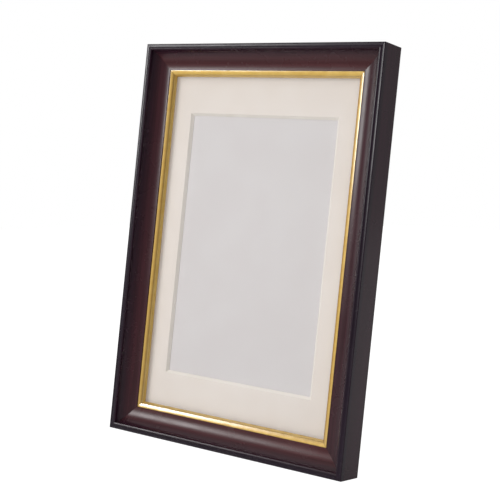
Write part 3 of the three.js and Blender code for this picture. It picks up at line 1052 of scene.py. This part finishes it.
def domeMesh(sizes, steps, domeSteps=10):  # a domed head on y = 0 with a shank behind it
    radius, height, shank, length = [sizes[name] for name in ("head", "height", "shank", "length")]
    rise, ease = height * 0.25, 0.08
    dome = arc((0, rise), (radius, height - rise), 0, 90, domeSteps)
    dome[-1] = (0, height)
    profile = [(0, -length), (shank, -length), (shank, 0), (radius - ease, 0), (radius, ease)]
    return latheMesh(profile + dome, steps)


screw = {
    "shank": 1.2,
    "length": 9.4,
    "head": 3.0,
    "height": 1.5,
    "slotWidth": 0.7,
    "slotDepth": 0.6,
    "seat": 1.4,
    "turns": [0.3, 1.1, -0.5, 0.7],
    "looseTurn": 0.8,
}


def screwMesh():
    half, top = screw["slotWidth"] / 2, screw["height"]
    low, high, side = top - screw["slotDepth"], top + 1, screw["head"] + 1
    slot = extrudeLoop(rectangle(low, -half, high, half), -side, side)
    return joinSolids(domeMesh(screw, 40), slot, how="DIFFERENCE")


buttonNames = ["left_upper", "left_lower", "right_upper", "right_lower"]
buttonSpots = {name: jointPlace("turn_" + name) for name in buttonNames}
places = [(spot.x, frameDepth + screw["seat"], spot.z) for spot in buttonSpots.values()]
screws = copiesOf(screwMesh(), places, screw["turns"], steel, screw["looseTurn"])
screwNodes = ["button_screw_" + name for name in buttonNames]
finishPiece("buttonScrews", screws, "frame", "steel", screwNodes, seat)

rivet = {"shank": 1.1, "length": 3.2, "head": 2.2, "height": 0.9, "proud": 0.03}
rivetBody = domeMesh(rivet, 32)


def rivetPair(node, body, depth, rise, place):
    spots = [(side * hinge["rivetSpread"] / 2, depth + rivet["proud"], rise) for side in (-1, 1)]
    mesh = copiesOf(rivetBody, spots, [0, 0], brass)
    finishPiece(camel(node) + "s", mesh, body, "brass", [node + "_left", node + "_right"], place)


rivetPair("board_rivet", "frame", hinge["sheet"] - hinge["barrel"], hinge["rivetRise"], hingeSeat)
rivetPair("leg_rivet", "strut", strut["front"] + strut["thickness"], -hinge["rivetRise"], strutSeat)

nail = {"inset": 4.0, "leg": 6.0, "thickness": 0.6, "depth": 7.0, "proud": 0.03, "ease": 0.06}


def nailMesh():  # drawn at the lower left corner, its point on the mitre
    half, middle = nail["thickness"] / 2, nail["inset"]
    near, far, end = middle - half, middle + half, middle + nail["leg"]
    loop = [(near, near), (end, near), (end, far), (far, far), (far, end), (near, end)]
    plate = plateMesh([loop], nail["depth"], nail["ease"])
    return standPlate(plate, nail["proud"] - nail["depth"] / 2)


half = frameWidth / 2
places = [(x, frameDepth, z) for x, z in rectangle(-half, 0, half, frameHeight)]
vNails = copiesOf(nailMesh(), places, [0, -math.pi / 2, math.pi, math.pi / 2], steel)
nailNodes = ["v_nail_" + name for name in ("top_left", "top_right", "bottom_left", "bottom_right")]
finishPiece("vNails", vNails, "frame", "steel", nailNodes, seat)
print("hinge and fasteners made")


# Turn buttons: pressed brass, a round head on the screw and a narrower tip over the board
button = {"head": 4.0, "tip": 2.6, "reach": 11.0, "thickness": 1.0, "lift": 0.2, "hole": 1.5, "ease": 0.2}


def buttonMesh():
    tangent = math.degrees(math.acos((button["head"] - button["tip"]) / button["reach"]))
    outline = arc((button["reach"], 0), (button["tip"], button["tip"]), -tangent, tangent, 20)
    outline += arc((0, 0), (button["head"], button["head"]), tangent, 360 - tangent, 36)
    hole = arc((0, 0), (button["hole"], button["hole"]), 0, 350, 35)
    plate = plateMesh([outline, hole], button["thickness"], button["ease"])
    return standPlate(plate, button["lift"] + button["thickness"] / 2)


for name, spot in buttonSpots.items():
    turn = math.pi if name.startswith("right") else 0
    place = seat @ Matrix.Translation((spot.x, frameDepth, spot.z)) @ Matrix.Rotation(turn, 4, "Y")
    brassPiece(buttonMesh(), "button_" + name, "turn_button_" + name, place)


# Hanger: a strap folded round a bent wire ring
hanger = {
    "width": 9.0,
    "length": 21.0,
    "sheet": 0.7,
    "radius": 1.8,
    "plateFrom": 0.4,
    "corners": (3, 3, 0.2, 0.2),  # at the free end, then at the roll
    "plateEase": 0.1,
    "wrap": 300,
    "tail": 2.0,
    "curlEase": 0.08,
    "rivetDrop": 17.0,
}
hangerSeat = seat @ Matrix.Translation(jointPlace("ring_swing"))


def strapMesh():
    half, low, high = hanger["width"] / 2, -hanger["length"], -hanger["plateFrom"]
    radius, sheet = hanger["radius"], hanger["sheet"]
    loop = roundedLoop(rectangle(-half, low, half, high), hanger["corners"])
    plate = standPlate(plateMesh([loop], sheet, hanger["plateEase"]), sheet / 2 - radius)
    curl = curlLoop(radius, sheet, hanger["tail"], hanger["wrap"], -1)
    return markEdges(joinSolids(plate, eased(extrudeLoop(curl, -half, half), hanger["curlEase"])))


finishPiece("hangerStrap", strapMesh(), "frame", "steel", ["hanger_strap"], hangerSeat)
rivetSpot = (0, hanger["sheet"] - hanger["radius"] + rivet["proud"], -hanger["rivetDrop"])
hangerRivet = copiesOf(rivetBody, [rivetSpot], [0], steel)
finishPiece("hangerRivet", hangerRivet, "frame", "steel", ["hanger_rivet"], hangerSeat)


def wireTree():
    inputs = {"Wire Radius": 0.8, "Bend Radius": 2.0, "Bend Steps": 12, "Wire Sides": 16}
    tree, given, made = geometryTree("bentWire", inputs)
    path = outOf(tree, "GeometryNodeMeshToCurve", {"Mesh": given["Geometry"]})
    inputs = {"Curve": path, "Radius": given["Bend Radius"], "Count": given["Bend Steps"]}
    path = outOf(tree, "GeometryNodeFilletCurve", inputs, mode="POLY")
    inputs = {"Resolution": given["Wire Sides"], "Radius": given["Wire Radius"]}
    circle = outOf(tree, "GeometryNodeCurvePrimitiveCircle", inputs)
    inputs = {"Curve": path, "Profile Curve": circle, "Fill Caps": True}
    return endTree(tree, given, made, outOf(tree, "GeometryNodeCurveToMesh", inputs))


ring = {"wire": 0.8, "width": 14.0, "drop": 12.5, "bend": 2.4, "split": 0.5, "steps": 12, "sides": 16}


def ringMesh():
    side, split = ring["width"] / 2, ring["split"] / 2
    bendAngle = math.atan2(ring["drop"], side)
    path = [(split, 0, 0), (side, 0, 0), (0, 0, -ring["drop"]), (-side, 0, 0), (-split, 0, 0)]
    path = meshFrom(path, [], "path", [(index, index + 1) for index in range(4)])
    values = {
        "Wire Radius": ring["wire"],
        "Bend Radius": ring["bend"] * math.tan(bendAngle / 2),
        "Bend Steps": ring["steps"],
        "Wire Sides": ring["sides"],
        "Material": steel,
    }
    return cleaned(runTree(wireTree(), path, values))


ringSeat = Matrix.Translation(joints["ring_swing"]["pos_m"]) @ Matrix.Scale(1 / mmPerMetre, 4)
finishPiece("hangerRing", ringMesh(), "ring", "steel", ["hanger_ring"], ringSeat)
print("buttons and hanger made")


# Studio: a pale table in a white room with a bright left wall, a softbox on the left for the
# moulding and two fill lamps for the mat and the print
studio = {
    "middle": (0.0, -0.02, 0.11),
    "key": {"turn": -42.0, "rise": 17.5, "away": 3.5, "size": (0.62, 0.75), "power": 30.0},
    "fill": {"turn": -35.0, "rise": 25.0, "away": 1.0, "size": (0.6, 0.6), "power": 2.75},
    "room": 0.28,
    "behind": (-0.3, 0.1, 0.08),  # where each side of the room starts and is full, and its light
    "leftWall": (-0.90, -0.98, 2.0),
    "overhead": (0.55, 0.8, 0.6),
    "wallRise": (-0.06, 0.10, 0.03),  # the left wall's lower edge, and its share below that
}


def softbox(name):
    given = studio[name]
    turn, rise = math.radians(given["turn"]), math.radians(given["rise"])
    lamp = bpy.data.lights.new(name, "AREA")
    lamp.shape = "RECTANGLE"
    lamp.size, lamp.size_y = given["size"]
    lamp.energy = given["power"]
    across, front = math.sin(turn) * math.cos(rise), -math.cos(turn) * math.cos(rise)
    towards = Vector((across, front, math.sin(rise)))
    box = bpy.data.objects.new(name, lamp)
    box.location = Vector(studio["middle"]) + towards * given["away"]
    box.rotation_euler = towards.to_track_quat("Z", "Y").to_euler()
    box.visible_camera = False
    scene.collection.objects.link(box)
    return box


def linkLight(box, pieces, state):
    group = bpy.data.collections.new(box.name + "Pieces")
    for piece in pieces:
        group.objects.link(piece)
    box.light_linking.receiver_collection = group
    for link in group.collection_objects:
        link.light_linking.link_state = state


picture = [matPiece, nodes["print_sheet"]]
# The key's mirror image would wash over the picture, so the key leaves it and the glass out
linkLight(softbox("key"), [nodes["glass_pane"]] + picture, "EXCLUDE")
for shadows in (True, False):  # half of the fill passes the slip, so its shadow on the mat stays faint
    fill = softbox("fill")
    fill.data.use_shadow = shadows
    linkLight(fill, picture, "INCLUDE")

tableTop = {
    "size": 0.9,
    "sides": 64,
    "light": (0.80, 0.80, 0.80, 1),
    "dark": (0.77, 0.77, 0.775, 1),
    "roughness": (20.0, 0.75, 0.85),
    "bumpDepth": 0.00002,
    "fixed": {"Specular IOR Level": 0.1},
    "glow": {"Color": (1, 1, 1, 1), "Strength": 1.3},
    "glowFrom": (-0.25, 0.0, 0.42, 0.03),  # from the front to the frame, and its share there
    "seen": 0.8,
}


def tableMaterial():
    material, tree, shader, place = newMaterial("paleTable")
    colour = layered(tree, tableTop["light"], (patches(tree, place, scale=6.0), tableTop["dark"]))
    rough = patches(tree, place, *tableTop["roughness"])
    feed(tree, shader, colour, rough, noiseOf(tree, place, scale=900.0), tableTop["bumpDepth"])
    setSockets(shader, tableTop["fixed"])
    depth = outOf(tree, "ShaderNodeSeparateXYZ", {0: place}, "Y")
    glow = spread(tree, depth, *tableTop["glowFrom"])
    seen = outOf(tree, "ShaderNodeLightPath", None, "Is Camera Ray")
    seen = calc(tree, "MAXIMUM", times(tree, seen, tableTop["seen"]), glow)
    mixShader(tree, seen, shader, addNode(tree, "ShaderNodeEmission", tableTop["glow"]))
    return material


def tableMesh():
    size, count = tableTop["size"], tableTop["sides"]
    turns = [2 * math.pi * step / count for step in range(count)]
    rim = [(size * math.cos(turn), size * math.sin(turn), 0) for turn in turns]
    mesh = meshFrom(rim, [list(range(count))], "table")
    mesh.materials.append(tableMaterial())
    return mesh


table = bpy.data.objects.new("table", tableMesh())
scene.collection.objects.link(table)

world = bpy.data.worlds.new("room")
scene.world = world
world.use_nodes = True
room = world.node_tree
room.nodes.clear()
towards = outOf(room, "ShaderNodeTexCoord", None, "Generated")
towards = addNode(room, "ShaderNodeSeparateXYZ", {0: towards}).outputs
rise = spread(room, towards["Z"], *studio["wallRise"])
level = studio["room"]
for axis, name in (("Y", "behind"), ("X", "leftWall"), ("Z", "overhead")):
    start, full, gain = studio[name]
    light = spread(room, towards[axis], start, full, 0.0, gain)
    if name == "leftWall":
        light = times(room, light, rise)
    level = plus(room, level, light)
seen = outOf(room, "ShaderNodeLightPath", None, "Is Camera Ray")
level = calc(room, "MAXIMUM", level, seen)
sky = outOf(room, "ShaderNodeBackground", {"Color": (1, 1, 1, 1), "Strength": level})
addNode(room, "ShaderNodeOutputWorld", {"Surface": sky})

camera = {"lens": 84.45, "sensor": 36, "place": (0.3676, -0.5211, 0.2127), "down": 9.131, "turn": 35.27}
lens = bpy.data.cameras.new("photoCamera")
lens.lens = camera["lens"]
lens.sensor_width = camera["sensor"]
eye = bpy.data.objects.new("photoCamera", lens)
eye.location = camera["place"]
eye.rotation_euler = (math.radians(90 - camera["down"]), 0, math.radians(camera["turn"]))
scene.collection.objects.link(eye)
scene.camera = eye
scene.view_settings.view_transform = "Standard"
print("studio set")
